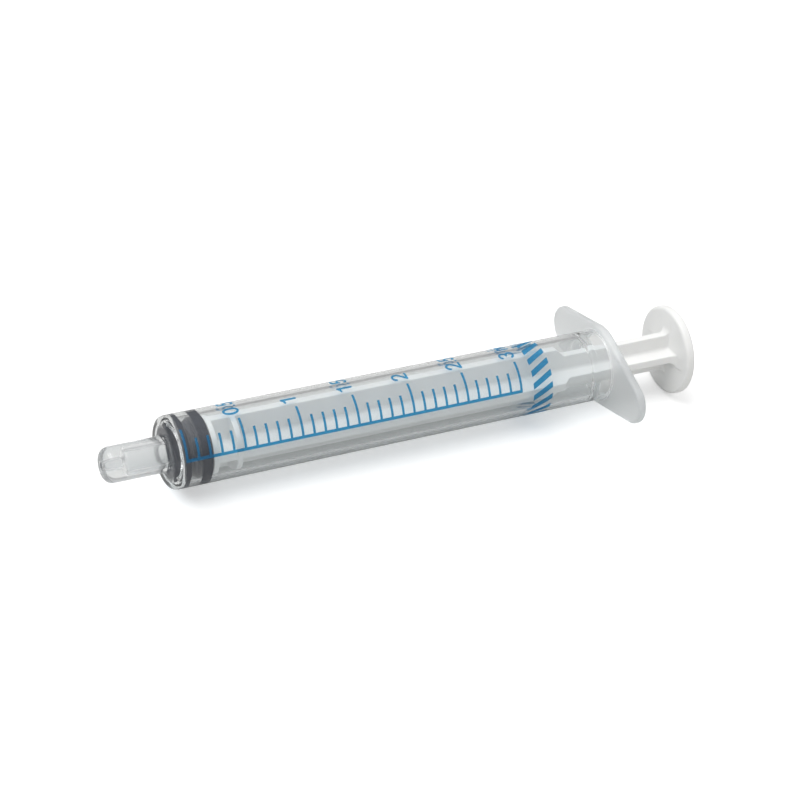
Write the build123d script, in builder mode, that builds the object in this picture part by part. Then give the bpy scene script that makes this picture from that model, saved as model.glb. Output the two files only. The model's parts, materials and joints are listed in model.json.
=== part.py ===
from build123d import *
import os
from math import cos, pi, radians, sin, sqrt

# Oral syringe, 3 mL, with the plunger pushed fully in.
# Frame: origin at the centre of the nozzle's end face, +X along the barrel's axis towards the thumb
# disc, Y along the finger flange, +Z up. Millimetres.

# ---- driving dimensions ------------------------------------------------------------------------
# Volume scale: the bore sets how far the seal moves for each 0.1 mL.
bore_r = 4.33
capacity_ml = 3.0
tick_ml = 0.1
major_every = 5
tick_pitch = 1000 * tick_ml / (pi * bore_r**2)
tick_count = round(capacity_ml / tick_ml) + 1
zero_x = 10.55
scale_length = tick_pitch * (tick_count - 1)

# Barrel and nozzle
outer_r = 5.2
nozzle_end_r = 2.53
nozzle_root_r = 2.62
nozzle_rounding = 1.35
nozzle_land_end = 6.5
nozzle_root_fillet = 0.3
tip_hole_r = 0.6
tip_hole_length = 2.6
fluid_r = 1.36
fluid_step = 0.6
front_x = 8.9
front_wall = 1.25
shoulder_r = 1.1
floor_fillet = 0.45
funnel_depth = 0.35

# Retaining ring and lead-in at the open end of the bore
ring_x = 73.6
ring_r = 4.2
ring_length = 0.45
entry_r = 4.58
entry_cone = 0.6
mouth_chamfer = 0.5

# Finger flange: a lozenge round one middle circle and two lobe circles
flange_x = 76.5
flange_thickness = 1.3
flange_middle_r = 6.09
flange_lobe_r = 3.1
flange_lobe_y = 10.0
flange_edge_r = 0.45
flange_root_fillet = 0.3

# Piston seal
seal_clearance = 0.02
seal_nose_gap = 0.12
seal_rib_r = bore_r - seal_clearance
seal_groove_r = 3.82
seal_nose_r = 3.55
seal_front_rib = 0.75
seal_groove = 1.6
seal_rear_rib = 1.65
seal_edge_r = 0.2

# Plunger rod
fit_clearance = 0.05
end_play = 0.1
head_r = 2.3
head_length = 1.9
neck_r = 1.5
neck_length = 1.15
rib_thickness = 1.2
rib_root_fillet = 0.45
rib_turn = 6.0
wide_rib_r = 4.0
narrow_rib_front_r = 2.8
narrow_rib_back_r = 2.9
disc_r = 4.1
disc_thickness = 0.8
second_disc_gap = 2.7
step_start_x = 69.0
step_end_x = 70.8
thumb_x = 88.32
thumb_r = 6.66
thumb_thickness = 1.4
thumb_edge_r = 0.5
rib_flare = 0.9

# Printed scale
ink_thickness = 0.02
baseline_angle = 21.6
baseline_width = 0.45
tick_width = 0.35
minor_tick_sweep = 32.4
major_tick_sweep = 49.8

# ---- worked-out places along the axis ----------------------------------------------------------
chamber_x = front_x + front_wall
flange_back_x = flange_x + flange_thickness
seal_x = chamber_x + seal_nose_gap
groove_x = zero_x + seal_front_rib
rear_rib_x = groove_x + seal_groove
seal_back_x = rear_rib_x + seal_rear_rib
first_disc_x = seal_back_x + end_play
neck_x = first_disc_x - neck_length
head_x = neck_x - head_length
first_disc_back_x = first_disc_x + disc_thickness
second_disc_x = first_disc_back_x + second_disc_gap
second_disc_back_x = second_disc_x + disc_thickness
thumb_back_x = thumb_x + thumb_thickness

os.makedirs("parts", exist_ok=True)


# ---- barrel: nozzle, front wall, tube and finger flange in one moulding -------------------------
with BuildPart() as barrel:
    # Outside of the nozzle, front wall and tube, turned about X.
    with BuildSketch(Plane.XZ):
        with BuildLine():
            Polyline(
                (0, 0),
                (0, nozzle_end_r),
                (nozzle_land_end, nozzle_end_r),
                (front_x, nozzle_root_r),
                (front_x, outer_r),
                (flange_x, outer_r),
                (flange_x, 0),
                (0, 0),
            )
        make_face()
        fillet(vertices().sort_by_distance((0, nozzle_end_r, 0))[0], nozzle_rounding)
        fillet(vertices().sort_by_distance((front_x, nozzle_root_r, 0))[0], nozzle_root_fillet)
        fillet(vertices().sort_by_distance((front_x, outer_r, 0))[0], shoulder_r)
    revolve(axis=Axis.X)

    # Finger flange, a thin lozenge with its long axis along Y.
    with BuildSketch(Plane.YZ.offset(flange_x)):
        Circle(flange_middle_r)
        with Locations((-flange_lobe_y, 0), (flange_lobe_y, 0)):
            Circle(flange_lobe_r)
        make_hull()
    extrude(amount=flange_thickness)
    rim = edges().filter_by_position(Axis.X, flange_x - 0.01, flange_back_x + 0.01)
    rim = rim.filter_by(lambda edge: sqrt(edge.center().Y ** 2 + edge.center().Z ** 2) > outer_r + 0.5)
    fillet(rim, flange_edge_r)
    root = edges().filter_by_position(Axis.X, flange_x - 0.01, flange_x + 0.01)
    root = root.filter_by(lambda edge: edge.geom_type == GeomType.CIRCLE and edge.radius < outer_r + 0.01)
    fillet(root, flange_root_fillet)

    # Fluid way, chamber, retaining ring and widened mouth, turned about X.
    with BuildSketch(Plane.XZ):
        with BuildLine():
            Polyline(
                (0, 0),
                (0, tip_hole_r),
                (tip_hole_length, tip_hole_r),
                (tip_hole_length + fluid_step, fluid_r),
                (chamber_x - funnel_depth, fluid_r),
                (chamber_x, fluid_r + funnel_depth),
                (chamber_x, bore_r),
                (ring_x, bore_r),
                (ring_x + (bore_r - ring_r), ring_r),
                (ring_x + ring_length, ring_r),
                (ring_x + ring_length + entry_cone, entry_r),
                (flange_back_x - mouth_chamfer, entry_r),
                (flange_back_x, entry_r + mouth_chamfer),
                (flange_back_x, 0),
                (0, 0),
            )
        make_face()
        fillet(vertices().sort_by_distance((chamber_x, bore_r, 0))[0], floor_fillet)
    revolve(axis=Axis.X, mode=Mode.SUBTRACT)
barrel.part.label = "barrel"


# ---- piston seal: rubber cup with two sealing ribs, hollow for the rod's head -------------------
with BuildPart() as piston_seal:
    with BuildSketch(Plane.XZ):
        with BuildLine():
            Polyline(
                (seal_x, 0),
                (seal_x, seal_nose_r),
                (zero_x, seal_rib_r),
                (groove_x, seal_rib_r),
                (groove_x + (seal_rib_r - seal_groove_r), seal_groove_r),
                (rear_rib_x - (seal_rib_r - seal_groove_r), seal_groove_r),
                (rear_rib_x, seal_rib_r),
                (seal_back_x, seal_rib_r),
                (seal_back_x, 0),
                (seal_x, 0),
            )
        make_face()
        fillet(vertices().filter_by(lambda corner: corner.Y > seal_nose_r - 0.01), seal_edge_r)
    revolve(axis=Axis.X)
    with BuildSketch(Plane.XZ):
        with BuildLine():
            Polyline(
                (head_x - end_play, 0),
                (head_x - end_play, head_r + fit_clearance),
                (neck_x + end_play, head_r + fit_clearance),
                (neck_x + end_play, neck_r + fit_clearance),
                (seal_back_x, neck_r + fit_clearance),
                (seal_back_x, 0),
                (head_x - end_play, 0),
            )
        make_face()
    revolve(axis=Axis.X, mode=Mode.SUBTRACT)
piston_seal.part.label = "piston_seal"


# ---- plunger rod: cross-ribbed stem, two guide discs, a snap head and a thumb disc --------------
with BuildPart() as plunger_rod:
    # Four ribs in a cross, as long as the stem. The rod turns freely, and rests a little off level.
    with BuildSketch(Plane.YZ.offset(first_disc_back_x)):
        Rectangle(2 * disc_r, rib_thickness, rotation=-rib_turn)
        Rectangle(rib_thickness, 2 * disc_r, rotation=-rib_turn)
        roots = vertices().filter_by(lambda corner: sqrt(corner.X**2 + corner.Y**2) < rib_thickness)
        fillet(roots, rib_root_fillet)
    extrude(amount=thumb_x - first_disc_back_x)

    # The ribs fill the bore up to the step, and are narrower where the stem shows outside it.
    with BuildSketch(Plane.XZ):
        with BuildLine():
            wide = Line((first_disc_back_x, wide_rib_r), (step_start_x, wide_rib_r))
            step = Spline(
                wide @ 1,
                (step_end_x, narrow_rib_front_r),
                tangents=((1, 0), (1, 0)),
            )
            narrow = Line(step @ 1, (thumb_x - rib_flare, narrow_rib_back_r))
            flare = RadiusArc(narrow @ 1, (thumb_x, narrow_rib_back_r + rib_flare), rib_flare)
            Polyline(flare @ 1, (thumb_x, 0), (first_disc_back_x, 0), wide @ 0)
        make_face()
    revolve(axis=Axis.X, mode=Mode.INTERSECT)

    # Snap head, neck and the two guide discs.
    with BuildSketch(Plane.XZ):
        with BuildLine():
            Polyline(
                (head_x, 0),
                (head_x, head_r),
                (neck_x, head_r),
                (neck_x, neck_r),
                (first_disc_x, neck_r),
                (first_disc_x, disc_r),
                (first_disc_back_x, disc_r),
                (first_disc_back_x, 0),
                (head_x, 0),
            )
        make_face()
    revolve(axis=Axis.X)
    with BuildSketch(Plane.YZ.offset(second_disc_x)):
        Circle(disc_r)
    extrude(amount=disc_thickness)

    # Thumb disc with a rounded rim.
    with BuildSketch(Plane.XZ):
        with Locations((thumb_x + thumb_thickness / 2, thumb_r / 2)):
            Rectangle(thumb_thickness, thumb_r)
        fillet(vertices().group_by(Axis.Y)[-1], thumb_edge_r)
    revolve(axis=Axis.X)
plunger_rod.part.label = "plunger_rod"


# ---- volume scale: an ink comb on the tube, one baseline and a tick every 0.1 mL ----------------
# Angles run from -Y towards +Z, which is a turn about -X.
turning = Axis((0, 0, 0), (-1, 0, 0))


def ink_plane(angle):
    """Half-plane through the X axis, with its local y along the radius at this angle."""
    a = radians(angle)
    return Plane(origin=(0, 0, 0), x_dir=(1, 0, 0), z_dir=(0, -sin(a), -cos(a)))


with BuildPart() as volume_scale:
    ink_mid_r = outer_r + ink_thickness / 2
    half_line = baseline_width / outer_r * 90 / pi
    with BuildSketch(ink_plane(baseline_angle - half_line)):
        with Locations((zero_x + scale_length / 2, ink_mid_r)):
            Rectangle(scale_length + tick_width, ink_thickness)
    revolve(axis=turning, revolution_arc=2 * half_line, clean=False)
    for tick in range(tick_count):
        sweep = major_tick_sweep if tick % major_every == 0 else minor_tick_sweep
        with BuildSketch(ink_plane(baseline_angle + half_line)):
            with Locations((zero_x + tick * tick_pitch, ink_mid_r)):
                Rectangle(tick_width, ink_thickness)
        revolve(axis=turning, revolution_arc=sweep - half_line, clean=False)
volume_scale.part.label = "volume_scale"


export_step(barrel.part, "parts/barrel.step")
export_step(piston_seal.part, "parts/piston_seal.step")
export_step(plunger_rod.part, "parts/plunger_rod.step")
export_step(volume_scale.part, "parts/volume_scale.step")
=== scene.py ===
import json
import math

import bmesh
import bpy
import numpy as np
from mathutils import Matrix, Vector


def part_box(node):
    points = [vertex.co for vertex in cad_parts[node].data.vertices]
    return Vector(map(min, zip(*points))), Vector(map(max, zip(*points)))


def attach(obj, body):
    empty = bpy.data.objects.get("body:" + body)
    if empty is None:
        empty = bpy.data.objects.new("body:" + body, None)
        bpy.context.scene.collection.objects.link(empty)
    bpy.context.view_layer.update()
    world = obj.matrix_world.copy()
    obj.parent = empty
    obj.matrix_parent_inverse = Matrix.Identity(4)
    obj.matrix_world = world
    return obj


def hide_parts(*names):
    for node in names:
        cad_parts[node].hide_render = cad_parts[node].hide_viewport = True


# Oral syringe, 3 mL, with its axis along X and the nozzle's end at x = 0. The object's lengths are
# millimetres until mesh_object() turns them into metres; camera, floor and lamp are in metres.
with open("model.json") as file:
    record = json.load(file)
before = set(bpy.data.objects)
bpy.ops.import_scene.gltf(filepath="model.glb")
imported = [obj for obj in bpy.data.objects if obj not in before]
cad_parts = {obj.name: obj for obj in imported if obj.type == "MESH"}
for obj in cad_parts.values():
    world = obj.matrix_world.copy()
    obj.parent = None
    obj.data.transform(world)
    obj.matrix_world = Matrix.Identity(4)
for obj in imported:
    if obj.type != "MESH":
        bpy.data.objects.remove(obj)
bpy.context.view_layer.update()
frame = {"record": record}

MM = 0.001
mounts = {mount["name"]: mount for mount in frame["record"]["mounts"]}


def cad_box_mm(node):
    """Lowest and highest corners of a CAD node, in millimetres."""
    low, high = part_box(node)
    return Vector(low) / MM, Vector(high) / MM


barrel_high = cad_box_mm("barrel")[1]
seal_high = cad_box_mm("piston_seal")[1]
rod_low, rod_high = cad_box_mm("plunger_rod")
scale_low = cad_box_mm("volume_scale")[0]

# Barrel
barrel_sides = 320
outer_r = mounts["barrel_outside"]["dims"]["r_mm"]
tip_hole_r = mounts["fluid_bore"]["dims"]["r_mm"]
tip_hole_length = mounts["fluid_bore"]["dims"]["length_mm"]
fluid_r = 1.36
fluid_step = 0.6
nozzle_end_r = mounts["oral_tip"]["dims"]["r_mm"]
nozzle_taper = 0.09
nozzle_root_r = nozzle_end_r + nozzle_taper
nozzle_land_end = 6.5
nozzle_rounding = 1.35
front_x = 8.9
front_wall = 1.25
shoulder_r = 1.1
chamber_x = front_x + front_wall
funnel_depth = 0.35
floor_fillet = 0.45
cad_seal_clearance = 0.02
bore_r = seal_high.z + cad_seal_clearance
flange_x = mounts["flange_front"]["pos_m"][0] / MM
flange_back_x = barrel_high.x
flange_lobe_r = 3.1
flange_lobe_y = barrel_high.y - flange_lobe_r
flange_middle_r = barrel_high.z
flange_edge_r = 0.45
flange_root_fillet = 0.3
flange_face_lip = 0.03
ring_x = 73.6
ring_r = 4.2
ring_length = 0.45
ring_lead = 0.25
entry_r = 4.58
entry_cone = 0.6
mouth_chamfer = 0.5

# Volume scale: one tick for each 0.1 mL, so a step is that volume over the bore's area.
tick_width = 0.35
tick_volume = 100
tick_pitch = tick_volume / (math.pi * bore_r**2)
tick_count = 31
major_every = 5
zero_x = scale_low.x + tick_width / 2
ink_thickness = 0.02
ink_sink = 0.01
baseline_angle = 21.6
baseline_width = 0.45
minor_tick_end = 54.0
major_tick_end = 71.4
band_gap = 2.0
band_x = zero_x + (tick_count - 1) * tick_pitch + band_gap

# Piston seal: it overlaps the barrel by seal_contact, or it would not show through the plastic.
seal_sides = 192
seal_contact = 0.015
seal_rib_r = bore_r + seal_contact
seal_groove_r = 3.82
seal_nose_r = 3.55
seal_nose_x = chamber_x - seal_contact
front_rib = 0.75
groove = 1.6
groove_x = zero_x + front_rib
rear_rib_x = groove_x + groove
socket_gap_x = 0.1
socket_gap_r = 0.05
pole_r = 0.4  # the smallest ring, round the point on the axis

# Plunger rod
head_x = rod_low.x
head_length = 1.9
head_r = 2.3
neck_length = 1.15
neck_r = 1.5
neck_x = head_x + head_length
first_disc_x = neck_x + neck_length
disc_r = 4.1
disc_thickness = 0.8
disc_spacing = 2.7
disc_edge = 0.08
disc_face_lip = 0.1
second_disc_x = first_disc_x + disc_thickness + disc_spacing
rod_pole_r = 0.3  # the same for the rod
rib_half = 0.6
rib_edge = 0.12
wide_rib_r = 3.97
narrow_rib_front_r = 2.8
narrow_rib_back_r = 2.9
rib_root = 0.45
rib_turn = 6.0
disc_flare = 0.25
step_start_x = 69.0
step_end_x = 70.8
thumb_thickness = 1.4
thumb_x = rod_high.x - thumb_thickness
thumb_back_x = rod_high.x
thumb_r = rod_high.z
thumb_edge_r = 0.5
thumb_flare = 1.0


# ---- camera and light ----------------------------------------------------------------------------
def look(location, forward, up_hint):
    """Matrix of a camera or lamp from its place, its direction and a rough up direction."""
    back = -Vector(forward).normalized()
    right = Vector(up_hint).cross(back).normalized()
    up = back.cross(right)
    matrix = Matrix((right, up, back)).transposed().to_4x4()
    matrix.translation = location
    return matrix


def make_camera():
    data = bpy.data.cameras.new("camera")
    data.lens = 106.1
    data.sensor_width = 36
    data.clip_start = 0.01
    camera = bpy.data.objects.new("camera", data)
    location = (-0.08579, -0.23572, 0.19893)
    forward = (0.3899, 0.705, -0.5924)
    up_hint = (0.1862, 0.5697, 0.8005)
    camera.matrix_world = look(location, forward, up_hint)
    bpy.context.scene.collection.objects.link(camera)
    bpy.context.scene.camera = camera


def area_light(name, location, target, size, power):
    """A rectangular lamp that faces the target."""
    data = bpy.data.lights.new(name, "AREA")
    data.shape = "RECTANGLE"
    data.size, data.size_y = size
    data.energy = power
    light = bpy.data.objects.new(name, data)
    direction = Vector(target) - Vector(location)
    light.matrix_world = look(location, direction, (0, 0.1, 1))
    bpy.context.scene.collection.objects.link(light)


def make_world():
    """Plain white surroundings, dim at floor level and brighter overhead."""
    world = bpy.data.worlds.new("studio")
    bpy.context.scene.world = world
    world.use_nodes = True
    tree = world.node_tree
    background = tree.nodes["Background"]
    coords = tree.nodes.new("ShaderNodeTexCoord")
    split = tree.nodes.new("ShaderNodeSeparateXYZ")
    ramp = tree.nodes.new("ShaderNodeMapRange")
    heights = (0.0, 0.9)
    strengths = (0.3, 0.95)
    for index, number in enumerate(heights + strengths, 1):
        ramp.inputs[index].default_value = number
    tree.links.new(coords.outputs["Generated"], split.inputs["Vector"])
    tree.links.new(split.outputs["Z"], ramp.inputs[0])
    tree.links.new(ramp.outputs[0], background.inputs["Strength"])
    background.inputs["Color"].default_value = (1, 1, 1, 1)


# ---- mesh helpers --------------------------------------------------------------------------------
def mesh_object(name, vertices, faces, material):
    """A smooth-shaded mesh object from millimetre vertices, with its faces turned outwards."""
    mesh = bpy.data.meshes.new(name)
    mesh.from_pydata([tuple(v * MM for v in vertex) for vertex in vertices], [], faces)
    mesh.validate()
    outward = bmesh.new()
    outward.from_mesh(mesh)
    bmesh.ops.recalc_face_normals(outward, faces=outward.faces)
    outward.to_mesh(mesh)
    outward.free()
    mesh.polygons.foreach_set("use_smooth", [True] * len(mesh.polygons))
    mesh.materials.append(material)
    made = bpy.data.objects.new(name, mesh)
    bpy.context.scene.collection.objects.link(made)
    return made


def rounded(corners, steps=14, hold=0.04):
    """Dense (x, r) points along a polyline of (x, r, fillet) corners; the two ends stay sharp.
    Each long straight run gets a point near both ends, which keeps its shading flat."""
    points = [np.array(corners[0][:2], float)]
    for before, corner, after in zip(corners, corners[1:], corners[2:]):
        here = np.array(corner[:2], float)
        to_before = np.array(before[:2], float) - here
        to_after = np.array(after[:2], float) - here
        to_before /= np.linalg.norm(to_before)
        to_after /= np.linalg.norm(to_after)
        half = math.acos(np.clip(np.dot(to_before, to_after), -1, 1)) / 2
        fillet = corner[2]
        reach = fillet / math.tan(half)
        bisector = (to_before + to_after) / np.linalg.norm(to_before + to_after)
        centre = here + bisector * fillet / math.sin(half)
        start = here + to_before * reach - centre
        end = here + to_after * reach - centre
        sweep = math.pi - 2 * half
        for step in range(steps + 1):
            t = step / steps
            weight_start = math.sin((1 - t) * sweep) / math.sin(sweep)
            weight_end = math.sin(t * sweep) / math.sin(sweep)
            points.append(centre + start * weight_start + end * weight_end)
    points.append(np.array(corners[-1][:2], float))
    held = []
    long_run = 6 * hold
    for here, after in zip(points, points[1:]):
        run = np.linalg.norm(after - here)
        held.append(here)
        if run > long_run:
            held.append(here + (after - here) * hold / run)
            held.append(after - (after - here) * hold / run)
    held.append(points[-1])
    return held


def skin(rings, closed=False, start_pole=None, end_pole=None):
    """Vertices and quads joining rings of equal length; closed joins the last ring to the first.
    A pole is the x of a point on the axis that closes that end."""
    count = len(rings[0])
    vertices = [tuple(vertex) for one in rings for vertex in one]
    faces = []
    pairs = list(zip(range(len(rings)), range(1, len(rings))))
    if closed:
        pairs.append((len(rings) - 1, 0))
    for a, b in pairs:
        for j in range(count):
            k = (j + 1) % count
            faces.append((a * count + j, b * count + j, b * count + k, a * count + k))
    if start_pole is not None:
        vertices.append((start_pole, 0, 0))
        pole = len(vertices) - 1
        faces += [(pole, j, (j + 1) % count) for j in range(count)]
    if end_pole is not None:
        vertices.append((end_pole, 0, 0))
        pole = len(vertices) - 1
        last = (len(rings) - 1) * count
        faces += [(pole, last + (j + 1) % count, last + j) for j in range(count)]
    return vertices, faces


def around(count):
    """Evenly spaced angles once round."""
    return np.linspace(0, 2 * math.pi, count, endpoint=False)


def polar_ring(x, radius, angles):
    """Ring at x, with one radius or one for each angle; angles run from +Y towards +Z."""
    radius = np.broadcast_to(radius, angles.shape)
    return np.stack([np.full_like(angles, x), radius * np.cos(angles), radius * np.sin(angles)], axis=1)


# ---- materials -----------------------------------------------------------------------------------
class Nodes:
    """Shorthand for building one material's node tree."""

    noise_range = (0.3, 0.7)
    mix_sockets = {"FLOAT": (2, 3, 0), "RGBA": (6, 7, 2)}

    def __init__(self, name):
        self.material = bpy.data.materials.new(name)
        self.material.use_nodes = True
        self.tree = self.material.node_tree
        self.shader = self.tree.nodes["Principled BSDF"]

    def add(self, kind, **values):
        """A new node; each value goes to the setting or else to the input of that name."""
        node = self.tree.nodes.new(kind)
        for key, value in values.items():
            if hasattr(node, key):
                setattr(node, key, value)
            else:
                node.inputs[key].default_value = value
        return node

    def feed(self, value, target):
        """Put an output, a number or a colour into an input."""
        if isinstance(value, bpy.types.NodeSocket):
            self.tree.links.new(value, target)
        else:
            target.default_value = value

    def surface(self, values):
        """Values for the Principled shader's inputs, by name."""
        for name, value in values.items():
            self.feed(value, self.shader.inputs[name])

    def place(self):
        return self.add("ShaderNodeTexCoord").outputs["Object"]

    def remap(self, value, low, high, out_low, out_high, smooth=False):
        node = self.add("ShaderNodeMapRange", interpolation_type="SMOOTHSTEP" if smooth else "LINEAR")
        for target, number in zip(node.inputs, (value, low, high, out_low, out_high)):
            self.feed(number, target)
        return node.outputs[0]

    def noise(self, scale):
        noise = self.add("ShaderNodeTexNoise", Scale=scale, Detail=3.0)
        self.feed(self.place(), noise.inputs["Vector"])
        return noise.outputs["Fac"]

    def mottled(self, scale, low, high):
        """A number that wanders between low and high."""
        return self.remap(self.noise(scale), *self.noise_range, low, high)

    def mix(self, kind, share, first, second):
        """first where the share is 0 and second where it is 1; kind is FLOAT or RGBA."""
        node = self.add("ShaderNodeMix", data_type=kind)
        first_socket, second_socket, result_socket = self.mix_sockets[kind]
        self.feed(share, node.inputs[0])
        self.feed(first, node.inputs[first_socket])
        self.feed(second, node.inputs[second_socket])
        return node.outputs[result_socket]

    def bump(self, scale, strength, distance):
        node = self.add("ShaderNodeBump", Strength=strength, Distance=distance)
        self.feed(self.noise(scale), node.inputs["Height"])
        self.feed(node.outputs["Normal"], self.shader.inputs["Normal"])

    def mix_clear(self, colour, share):
        """Mix a Transparent shader over the Principled one; share is a number or an output."""
        clear = self.add("ShaderNodeBsdfTransparent", Color=colour)
        mix = self.add("ShaderNodeMixShader")
        self.feed(share, mix.inputs[0])
        self.feed(self.shader.outputs[0], mix.inputs[1])
        self.feed(clear.outputs[0], mix.inputs[2])
        self.feed(mix.outputs[0], self.tree.nodes["Material Output"].inputs["Surface"])

    def let_lamps_through(self, colour):
        """Shadow and diffuse rays pass straight through instead of being refracted."""
        path = self.add("ShaderNodeLightPath")
        either = self.add("ShaderNodeMath", operation="MAXIMUM")
        self.feed(path.outputs["Is Shadow Ray"], either.inputs[0])
        self.feed(path.outputs["Is Diffuse Ray"], either.inputs[1])
        self.mix_clear(colour, either.outputs[0])


def clear_plastic():
    """Clear polypropylene, slightly milky, duller over the nozzle and frosted from the flange on."""
    nodes = Nodes("clear_plastic")
    split = nodes.add("ShaderNodeSeparateXYZ")
    nodes.feed(nodes.place(), split.inputs["Vector"])
    x = split.outputs["X"]
    at_nozzle = nodes.remap(x, (front_x - 0.6) * MM, (front_x - 0.1) * MM, 1, 0, smooth=True)
    at_flange = nodes.remap(x, (flange_x - 0.3) * MM, (flange_x + 0.1) * MM, 0, 1, smooth=True)
    tube_roughness = nodes.mottled(900, 0.03, 0.06)
    nozzle_roughness = nodes.mottled(1600, 0.1, 0.16)
    flange_roughness = nodes.mottled(700, 0.36, 0.42)
    front_roughness = nodes.mix("FLOAT", at_nozzle, tube_roughness, nozzle_roughness)
    tube_clarity = 0.975
    nozzle_clarity = 0.88
    flange_clarity = 0.72
    front_clarity = nodes.remap(at_nozzle, 0, 1, tube_clarity, nozzle_clarity)
    nodes.surface({
        "Base Color": (0.865, 0.877, 0.88, 1),
        "IOR": 1.49,
        "Roughness": nodes.mix("FLOAT", at_flange, front_roughness, flange_roughness),
        "Transmission Weight": nodes.mix("FLOAT", at_flange, front_clarity, flange_clarity),
    })
    nodes.let_lamps_through((0.93, 0.95, 0.96, 1))
    return nodes.material


def seal_rubber():
    """Dark grey rubber with a fine grain."""
    nodes = Nodes("seal_rubber")
    share = nodes.mottled(1200, 0, 1)
    nodes.surface({
        "Base Color": nodes.mix("RGBA", share, (0.02, 0.024, 0.036, 1), (0.03, 0.035, 0.05, 1)),
        "Roughness": nodes.mottled(700, 0.38, 0.52),
        "Specular IOR Level": 0.15,
    })
    nodes.bump(4000, 0.15, 0.00005)
    return nodes.material


def white_plastic():
    """White moulded plastic that lets a little light in."""
    nodes = Nodes("white_plastic")
    share = nodes.mottled(250, 0, 1)
    nodes.surface({
        "Base Color": nodes.mix("RGBA", share, (0.83, 0.83, 0.82, 1), (0.87, 0.87, 0.86, 1)),
        "Roughness": nodes.mottled(900, 0.28, 0.4),
        "Subsurface Weight": 0.15,
        "Subsurface Radius": (0.001, 0.001, 0.0009),
        "Subsurface Scale": 0.5,
    })
    nodes.bump(3000, 0.08, 0.00005)
    return nodes.material


def blue_ink():
    """See-through blue ink, darker over the seal and brighter over the white rod."""
    nodes = Nodes("blue_ink")
    share = nodes.mottled(3500, 0, 1)
    nodes.surface({
        "Base Color": nodes.mix("RGBA", share, (0.035, 0.18, 0.35, 1), (0.05, 0.22, 0.4, 1)),
        "Roughness": nodes.mottled(2000, 0.35, 0.5),
    })
    nodes.bump(6000, 0.1, 0.00002)
    clear_share = 0.58
    nodes.mix_clear((0.3, 0.8, 1, 1), clear_share)
    return nodes.material


def floor_white():
    """Pale floor, brighter to the camera than to any other ray. The clear plastic gathers its light
    from the dimmer one, so its outline stays readable against a near white ground."""
    nodes = Nodes("floor_white")
    seen = nodes.add("ShaderNodeLightPath").outputs["Is Camera Ray"]
    nodes.surface({
        "Base Color": nodes.mix("RGBA", seen, (0.67, 0.67, 0.66, 1), (0.85, 0.85, 0.85, 1)),
        "Emission Color": (1, 1, 1, 1),
        "Emission Strength": nodes.remap(seen, 0, 1, 0, 0.3),
        "Roughness": nodes.mottled(40, 0.75, 0.85),
    })
    return nodes.material


CLEAR = clear_plastic()
RUBBER = seal_rubber()
WHITE = white_plastic()
INK = blue_ink()


# ---- barrel --------------------------------------------------------------------------------------
def flange_radius(angles, inset):
    """Outline of the flange, a lozenge round three circles, moved inwards by inset."""
    middle_r = flange_middle_r - inset
    lobe_r = flange_lobe_r - inset
    normal = math.acos((middle_r - lobe_r) / flange_lobe_y)
    away = np.arccos(np.abs(np.cos(angles)))
    lobe_end = math.atan2(lobe_r * math.sin(normal), flange_lobe_y + lobe_r * math.cos(normal))
    lobe = flange_lobe_y * np.cos(away) + np.sqrt(
        np.maximum(lobe_r**2 - (flange_lobe_y * np.sin(away)) ** 2, 0)
    )
    side = middle_r / np.cos(away - normal)
    return np.where(away <= lobe_end, lobe, np.where(away < normal, side, middle_r))


def flange_rings(angles):
    """Rings over the flange's rim, from its front face to its back face."""
    half_thickness = (flange_back_x - flange_x) / 2
    flat = half_thickness - flange_edge_r
    face_inset = flange_edge_r + flange_face_lip
    rings = [polar_ring(flange_x, flange_radius(angles, face_inset), angles)]
    for turn in np.linspace(0, math.pi, 17):
        side = -1 if turn < math.pi / 2 - 1e-6 else 1
        inset = flange_edge_r * (1 - math.sin(turn))
        x = flange_x + half_thickness + side * flat - flange_edge_r * math.cos(turn)
        rings.append(polar_ring(x, flange_radius(angles, inset), angles))
    rings.append(polar_ring(flange_back_x, flange_radius(angles, face_inset), angles))
    return rings


def make_barrel():
    angles = around(barrel_sides)
    outside = rounded(
        [
            (0.5 * tip_hole_length, tip_hole_r, 0),
            (0, tip_hole_r, 0.2),
            (0, nozzle_end_r, nozzle_rounding),
            (nozzle_land_end, nozzle_end_r, 4),
            (front_x, nozzle_root_r, 0.35),
            (front_x, outer_r, shoulder_r),
            (flange_x, outer_r, flange_root_fillet),
            (flange_x, outer_r + flange_root_fillet + flange_face_lip, 0),
        ]
    )
    inside = rounded(
        [
            (flange_back_x, entry_r + mouth_chamfer + 0.1, 0),
            (flange_back_x, entry_r + mouth_chamfer, 0.08),
            (flange_back_x - mouth_chamfer, entry_r, 0.2),
            (ring_x + ring_length + entry_cone, entry_r, 0.6),
            (ring_x + ring_length, ring_r, 0.3),
            (ring_x + bore_r - ring_r, ring_r, 0.3),
            (ring_x - ring_lead, bore_r, 0.6),
            (chamber_x, bore_r, floor_fillet),
            (chamber_x, fluid_r + funnel_depth, 0.2),
            (chamber_x - funnel_depth, fluid_r, 0.3),
            (tip_hole_length + fluid_step, fluid_r, 0.5),
            (tip_hole_length, tip_hole_r, 0.2),
            (0.6 * tip_hole_length, tip_hole_r, 0),
        ]
    )
    rings = [polar_ring(x, r, angles) for x, r in outside]
    rings += flange_rings(angles)
    rings += [polar_ring(x, r, angles) for x, r in inside]
    vertices, faces = skin(rings, closed=True)
    made = mesh_object("clear_barrel", vertices, faces, CLEAR)
    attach(made, "barrel")
    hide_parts("barrel")


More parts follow.
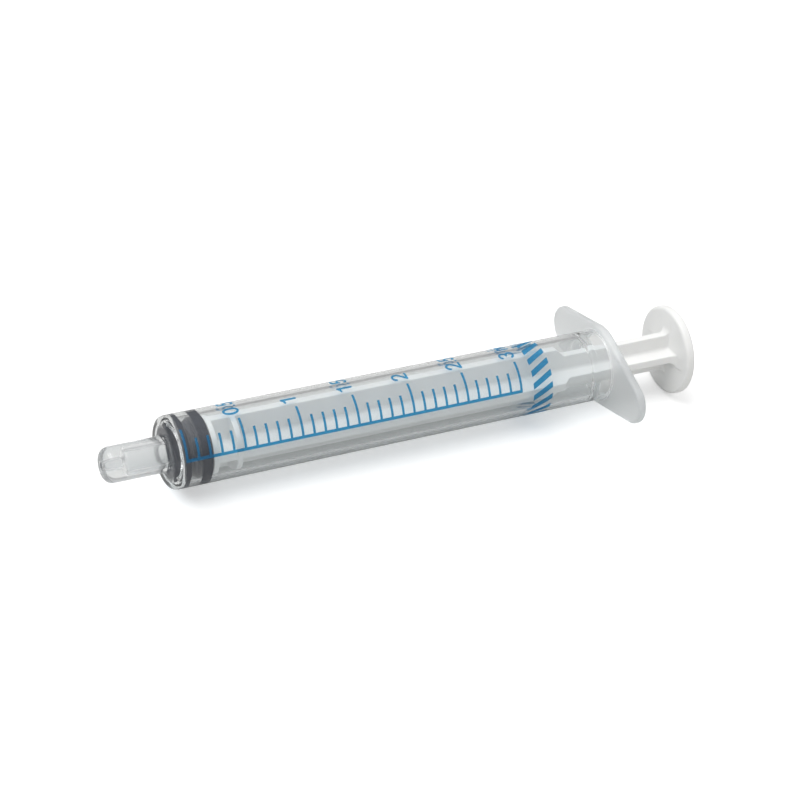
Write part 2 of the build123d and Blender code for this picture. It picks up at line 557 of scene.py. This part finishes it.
# ---- piston seal ---------------------------------------------------------------------------------
def make_seal():
    angles = around(seal_sides)
    taper = seal_rib_r - seal_groove_r
    socket_x = head_x - socket_gap_x
    socket_r = head_r + socket_gap_r
    socket_back_x = neck_x + socket_gap_x
    socket_neck_r = neck_r + socket_gap_r
    profile = rounded(
        [
            (socket_x, pole_r, 0),
            (socket_x, socket_r, 0.1),
            (socket_back_x, socket_r, 0.1),
            (socket_back_x, socket_neck_r, 0.1),
            (seal_high.x, socket_neck_r, 0.1),
            (seal_high.x, seal_rib_r, 0.25),
            (rear_rib_x, seal_rib_r, 0.25),
            (rear_rib_x - taper, seal_groove_r, 0.2),
            (groove_x + taper, seal_groove_r, 0.2),
            (groove_x, seal_rib_r, 0.2),
            (zero_x, seal_rib_r, 0.2),
            (seal_nose_x, seal_nose_r, 0.12),
            (seal_nose_x, pole_r, 0),
        ]
    )
    rings = [polar_ring(x, r, angles) for x, r in profile]
    vertices, faces = skin(rings, start_pole=socket_x, end_pole=seal_nose_x)
    made = mesh_object("rubber_seal", vertices, faces, RUBBER)
    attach(made, "seal")
    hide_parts("piston_seal")


# ---- plunger rod ---------------------------------------------------------------------------------
def octant(reach, half, edge, root):
    """Outline of a rib from its axis to the diagonal: flat tip, rounded edge, side, root fillet."""
    tip = [(reach, v) for v in np.linspace(0, half - edge, 4)]
    turns = np.linspace(0, math.pi / 2, 6)[1:]
    corner = [(reach - edge + edge * math.cos(t), half - edge + edge * math.sin(t)) for t in turns]
    shares = 1 / np.tan(np.radians(np.linspace(10, 34, 10)))  # closer together towards the axis
    shares = (shares - shares[-1]) / (shares[0] - shares[-1])
    side = [(half + root + (reach - edge - half - root) * s, half) for s in shares[1:-1]]
    turns = np.linspace(-math.pi / 2, -3 * math.pi / 4, 5)
    fillet = [(half + root + root * math.cos(t), half + root + root * math.sin(t)) for t in turns]
    return tip + corner + side + fillet


def cross_outline(reach, half, edge, root):
    """Outline of four ribs in a cross, as (y, z) points."""
    eighth = octant(reach, half, edge, root)
    quarter = np.array(eighth[:-1] + [(v, u) for u, v in eighth[:0:-1]])
    points = []
    for turn in range(4):
        angle = turn * math.pi / 2 - math.radians(rib_turn)
        c = math.cos(angle)
        s = math.sin(angle)
        points.append(quarter @ np.array([[c, s], [-s, c]]))
    return np.concatenate(points)


def cross_ring(x, reach, grow=0.0):
    """Ring of the cross at x, with its ribs thicker by grow on each side."""
    outline = cross_outline(reach, rib_half + grow, rib_edge + grow / 3, rib_root)
    return np.column_stack([np.full(len(outline), x), outline])


def disc_fillet(disc_x, side):
    """Rings of the wide cross where it meets a disc's face, from the front backwards; side is 1 where
    the cross leaves the disc and -1 where it runs into it."""
    rings = []
    side_share = 0.6
    for turn in np.linspace(0, math.pi / 2, 6)[::side]:
        grow = disc_flare * (1 - math.sin(turn)) * side_share
        rings.append(cross_ring(disc_x + side * disc_flare * math.sin(turn), wide_rib_r, grow))
    return rings


def make_rod():
    outline = cross_outline(wide_rib_r, rib_half, rib_edge, rib_root)
    angles = np.arctan2(outline[:, 1], outline[:, 0])
    first_back_x = first_disc_x + disc_thickness
    second_back_x = second_disc_x + disc_thickness
    front = rounded(
        [
            (head_x, rod_pole_r, 0),
            (head_x, head_r, 0.3),
            (neck_x, head_r, 0.15),
            (neck_x, neck_r, 0.1),
            (first_disc_x, neck_r, 0.1),
            (first_disc_x, disc_r, disc_edge),
            (first_back_x, disc_r, disc_edge),
            (first_back_x, disc_r - disc_face_lip, 0),
        ]
    )
    second = rounded(
        [
            (second_disc_x, disc_r - disc_face_lip, 0),
            (second_disc_x, disc_r, disc_edge),
            (second_back_x, disc_r, disc_edge),
            (second_back_x, disc_r - disc_face_lip, 0),
        ]
    )
    thumb = rounded(
        [
            (thumb_x, thumb_r - 2 * thumb_edge_r, 0),
            (thumb_x, thumb_r, thumb_edge_r),
            (thumb_back_x, thumb_r, thumb_edge_r),
            (thumb_back_x, rod_pole_r, 0),
        ]
    )
    rings = [polar_ring(x, r, angles) for x, r in front]
    rings += disc_fillet(first_back_x, 1)
    rings += disc_fillet(second_disc_x, -1)
    rings += [polar_ring(x, r, angles) for x, r in second]
    rings += disc_fillet(second_back_x, 1)
    for t in np.linspace(0, 1, 17):
        eased = t * t * (3 - 2 * t)
        reach = wide_rib_r + (narrow_rib_front_r - wide_rib_r) * eased
        rings.append(cross_ring(step_start_x + (step_end_x - step_start_x) * t, reach))
    for turn in np.linspace(0, math.pi / 2, 10):
        grow = thumb_flare * (1 - math.cos(turn))
        x = thumb_x - thumb_flare * (1 - math.sin(turn))
        rings.append(cross_ring(x, narrow_rib_back_r + grow, 0.5 * grow))
    rings += [polar_ring(x, r, angles) for x, r in thumb]
    vertices, faces = skin(rings, start_pole=head_x, end_pole=thumb_back_x)
    made = mesh_object("white_rod", vertices, faces, WHITE)
    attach(made, "rod")
    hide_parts("plunger_rod")


# ---- print ---------------------------------------------------------------------------------------
def wrap(x, along, height):
    """A point of the print: x along the barrel, along the circumference in mm from -Y up over the top."""
    r = outer_r + height
    a = along / outer_r
    return (x, -r * math.cos(a), r * math.sin(a))


def film(name, points, cells):
    """A closed film from flat (x, along) points and their cells, wrapped on the barrel. Its underside
    lies ink_sink below the barrel's surface."""
    count = len(points)
    vertices = [wrap(x, s, ink_thickness) for x, s in points]
    vertices += [wrap(x, s, -ink_sink) for x, s in points]
    faces = [tuple(cell) for cell in cells]
    faces += [tuple(count + i for i in reversed(cell)) for cell in cells]
    edges = dict.fromkeys(edge for cell in cells for edge in zip(cell, cell[1:] + cell[:1]))
    faces += [(b, a, count + a, count + b) for a, b in edges if (b, a) not in edges]
    made = mesh_object(name, vertices, faces, INK)
    made.data.polygons.foreach_set("use_smooth", [False] * len(made.data.polygons))
    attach(made, "barrel")
    return made


def arc_mm(angle):
    """Length along the circumference of an angle in degrees."""
    return math.radians(angle) * outer_r


def make_comb():
    """Baseline and ticks as one film, in cells between the ticks' edges and the steps of height."""
    half_line = baseline_width / 2
    low = arc_mm(baseline_angle) - half_line
    levels = [low, low + baseline_width]
    step = 0.2
    for top in (arc_mm(minor_tick_end), arc_mm(major_tick_end)):
        count = math.ceil((top - levels[-1]) / step)
        levels += list(np.linspace(levels[-1], top, count + 1)[1:])
    breaks = []
    for tick in range(tick_count):
        middle = zero_x + tick * tick_pitch
        breaks += [middle - tick_width / 2, middle + tick_width / 2]
    index = {}
    points = []
    cells = []

    def vertex(i, j):
        if (i, j) not in index:
            index[(i, j)] = len(points)
            points.append((breaks[i], levels[j]))
        return index[(i, j)]

    minor_top = arc_mm(minor_tick_end) + 1e-6
    for i in range(len(breaks) - 1):
        in_tick = i % 2 == 0
        major = (i // 2) % major_every == 0
        for j in range(len(levels) - 1):
            in_line = j == 0
            tall_enough = major or levels[j + 1] <= minor_top
            if in_line or (in_tick and tall_enough):
                cells.append([vertex(i, j), vertex(i, j + 1), vertex(i + 1, j + 1), vertex(i + 1, j)])
    made = film("scale_comb", points, cells)
    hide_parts("volume_scale")


def bow(cx, cy, rx, ry, start, end, steps=24):
    """Points along an elliptical arc, angles in degrees."""
    turns = np.radians(np.linspace(start, end, steps))
    return [(cx + rx * math.cos(t), cy + ry * math.sin(t)) for t in turns]


# Centre lines of the figures on a cap height of 1: (width, strokes).
FIGURES = {
    "0": (0.62, [bow(0.29, 0.5, 0.2, 0.435, 0, 360, 40)]),
    "1": (0.5, [[(0.3, 0.065), (0.3, 0.93)], [(0.3, 0.93), (0.22, 0.8), (0.09, 0.76)]]),
    "2": (0.62, [bow(0.28, 0.69, 0.19, 0.245, 170, -38) + [(0.09, 0.065)], [(0.09, 0.065), (0.49, 0.065)]]),
    "3": (0.62, [bow(0.27, 0.715, 0.175, 0.22, 155, -90), bow(0.27, 0.28, 0.2, 0.215, 90, -155)]),
    "5": (0.62, [[(0.45, 0.935), (0.16, 0.935), (0.12, 0.5)], bow(0.27, 0.33, 0.2, 0.265, 140, -150)]),
    ".": (0.26, [[(0.12, 0.075), (0.12, 0.08)]]),
    "m": (0.85, [[(0.1, 0.065), (0.1, 0.62)], bow(0.25, 0.46, 0.15, 0.17, 180, 0) + [(0.4, 0.065)],
                 bow(0.55, 0.46, 0.15, 0.17, 180, 0) + [(0.7, 0.065)]]),
    "L": (0.5, [[(0.1, 0.935), (0.1, 0.065)], [(0.1, 0.065), (0.43, 0.065)]]),
    " ": (0.2, []),
}


def stroke_distance(x, y, strokes):
    """Distance from each grid point to the nearest centre line."""
    nearest = np.full(x.shape, 1e9)
    for stroke in strokes:
        for (ax, ay), (bx, by) in zip(stroke, stroke[1:]):
            dx, dy = bx - ax, by - ay
            t = np.clip(((x - ax) * dx + (y - ay) * dy) / (dx * dx + dy * dy), 0, 1)
            nearest = np.minimum(nearest, np.hypot(x - ax - t * dx, y - ay - t * dy))
    return nearest


def contour_cells(x, y, field):
    """Polygons covering field < 0 on a grid, cut along the zero line."""
    index = {}
    points = []
    cells = []

    def corner(i, j):
        key = ("corner", i, j)
        if key not in index:
            index[key] = len(points)
            points.append((x[i, j], y[i, j]))
        return index[key]

    def crossing(a, b):
        key = ("edge",) + tuple(sorted((a, b)))
        if key not in index:
            t = field[a] / (field[a] - field[b])
            index[key] = len(points)
            points.append((x[a] + t * (x[b] - x[a]), y[a] + t * (y[b] - y[a])))
        return index[key]

    for i in range(field.shape[0] - 1):
        for j in range(field.shape[1] - 1):
            loop = [(i, j), (i + 1, j), (i + 1, j + 1), (i, j + 1)]
            if all(field[c] >= 0 for c in loop):
                continue
            polygon = []
            for a, b in zip(loop, loop[1:] + loop[:1]):
                if field[a] < 0:
                    polygon.append(corner(*a))
                if (field[a] < 0) != (field[b] < 0):
                    polygon.append(crossing(a, b))
            if len(polygon) > 2:
                cells.append(polygon)
    return points, cells


def write(name, text, foot_x, start):
    """Figures that read up over the barrel, with their feet at foot_x and their tops towards the nozzle."""
    cap = 2.4
    weight = 0.32
    broad = 1.12
    strokes = []
    advance = 0.0
    for figure in text:
        width, lines = FIGURES[figure]
        strokes += [[(u + advance, v) for u, v in line] for line in lines]
        advance += width
    pitch = 0.022
    grid_low = -0.05
    across = np.arange(grid_low, advance + 0.1, pitch)
    upwards = np.arange(grid_low, 1.06, pitch)
    u, v = np.meshgrid(across, upwards, indexing="ij")
    field = stroke_distance(u, v, strokes) - weight / cap / 2
    flat, cells = contour_cells(u, v, field)
    points = [(foot_x - v * cap, start + u * cap * broad) for u, v in flat]
    film(name, points, cells)


def make_numerals():
    """A figure in mL above each long tick but the first."""
    gap = 0.7
    foot_past_tick = 0.57
    for tick in range(major_every, tick_count, major_every):
        volume = tick / 10
        text = f"{volume:g}"
        name = "numeral_" + text.replace(".", "_")
        if tick == tick_count - 1:
            text += " mL"
        write(name, text, zero_x + tick * tick_pitch + foot_past_tick, arc_mm(major_tick_end) + gap)


def make_band():
    """A plain hatched band right round the barrel, past the end of the scale."""
    length = 3.1
    count = 18
    pitch = 2 * math.pi * outer_r / count
    bar = 0.5 * pitch
    lean = 0.9 * pitch
    steps = 8
    columns = 2
    row = columns + 1
    points = []
    cells = []
    for number in range(count):
        base = len(points)
        for i in range(steps + 1):
            for j in range(row):
                t = i / steps
                points.append((band_x + length * t, number * pitch + lean * t + bar * j / columns))
        for i in range(steps):
            for j in range(columns):
                a = base + row * i + j
                cells.append([a, a + row, a + row + 1, a + 1])
    film("hatch_band", points, cells)


# ---- floor ---------------------------------------------------------------------------------------
def make_floor():
    """A square floor, as low as the thumb disc's edge."""
    half = 1.5
    z = rod_low.z * MM
    corners = [(-half, -half, z), (half, -half, z), (half, half, z), (-half, half, z)]
    mesh = bpy.data.meshes.new("floor")
    mesh.from_pydata(corners, [], [(0, 1, 2, 3)])
    mesh.materials.append(floor_white())
    floor = bpy.data.objects.new("floor", mesh)
    bpy.context.scene.collection.objects.link(floor)


make_camera()
make_barrel()
make_seal()
make_rod()
make_comb()
make_numerals()
make_band()
make_floor()
make_world()
area_light("overhead", (-0.14, 0.05, 0.6), (0.04, 0, 0), (0.5, 0.35), 2.1)

view = bpy.context.scene.view_settings
view.view_transform = "Standard"
view.look = "None"
view.exposure = 0
view.gamma = 1
